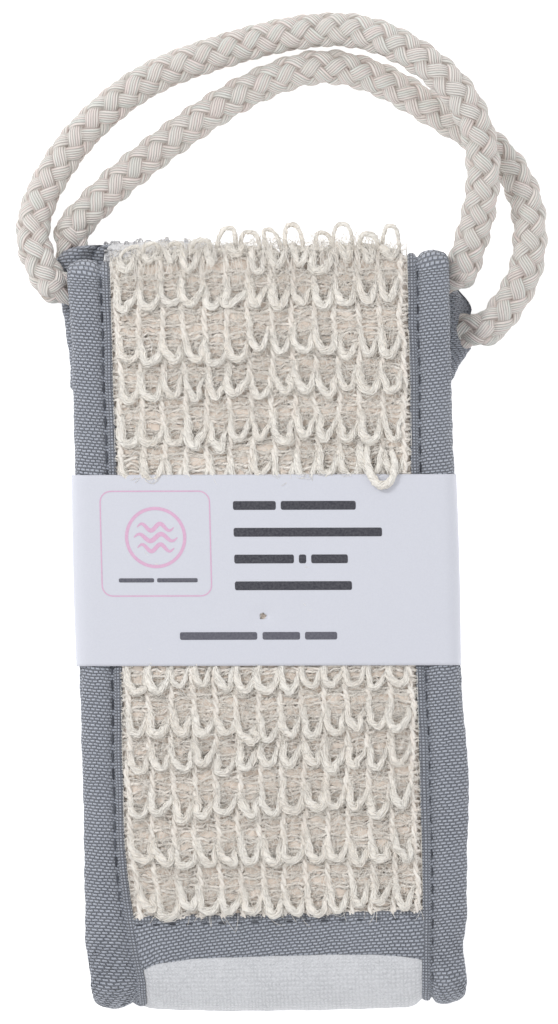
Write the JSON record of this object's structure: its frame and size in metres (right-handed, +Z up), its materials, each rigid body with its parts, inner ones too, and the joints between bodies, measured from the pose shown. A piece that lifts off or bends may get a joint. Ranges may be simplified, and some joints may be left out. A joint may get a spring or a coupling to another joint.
{
  "type": "back scrubber strap",
  "caption": "Long sisal and terry back scrubber strap with bound edges and a braided rope handle at each end, folded flat and held by a paper band.",
  "frame": {"origin": "middle of the underside of the folded strap and its paper band, where it rests on a table", "axes": "+X to the right across the strap, +Y along it towards the rope handles, +Z up out of the front sisal face"},
  "size_m": [0.1408, 0.2613, 0.0224],
  "materials": {
    "sisal": "coarse looped knit",
    "towelling": "cotton terry pile",
    "cotton_cloth": "fine white cotton weave",
    "grey_tape": "woven binding tape",
    "grey_thread": "sewing thread",
    "rope_cotton": "braided cotton",
    "paper": "matt coated",
    "glue": "dried adhesive"
  },
  "bodies": {
    "strap": {"sisal_pad": "sisal", "outer_end_cloth": "cotton_cloth", "inner_end_cloth": "cotton_cloth", "terry_backing": "towelling", "left_binding": "grey_tape", "right_binding": "grey_tape", "front_cross_tape": "grey_tape", "inner_cross_tape": "grey_tape", "outer_end_hem": "cotton_cloth", "inner_end_hem": "cotton_cloth", "left_binding_seam": "grey_thread", "right_binding_seam": "grey_thread", "front_tape_seam": "grey_thread", "inner_tape_seam": "grey_thread", "front_rope_left_end": "rope_cotton", "front_rope_right_end": "rope_cotton", "rear_rope_left_end": "rope_cotton", "rear_rope_right_end": "rope_cotton", "front_rope_bar_tacks": "grey_thread", "rear_rope_bar_tacks": "grey_thread"},
    "band": {"paper_band": "paper", "band_glue": "glue"},
    "front_handle": {"front_handle_rope": "rope_cotton"},
    "rear_handle": {"rear_handle_rope": "rope_cotton"}
  },
  "joints": [
    {"name": "band_slide", "type": "slide", "parent": "strap", "child": "band", "axis": [0, -1, 0], "range_m": [0, 0.145]},
    {"name": "front_handle_swing", "type": "hinge", "parent": "strap", "child": "front_handle", "pos_m": [0, 0.0908, 0.0112], "axis": [1, 0, 0], "range_deg": [0, 105]},
    {"name": "rear_handle_swing", "type": "hinge", "parent": "strap", "child": "rear_handle", "pos_m": [-0.0492, 0.1055, 0.0049], "axis": [0.9725, -0.2329, 0], "range_deg": [0, 52.5]}
  ],
  "couplings": [
    {"joint": "rear_handle_swing", "follows": "front_handle_swing", "ratio": 0.5}
  ]
}
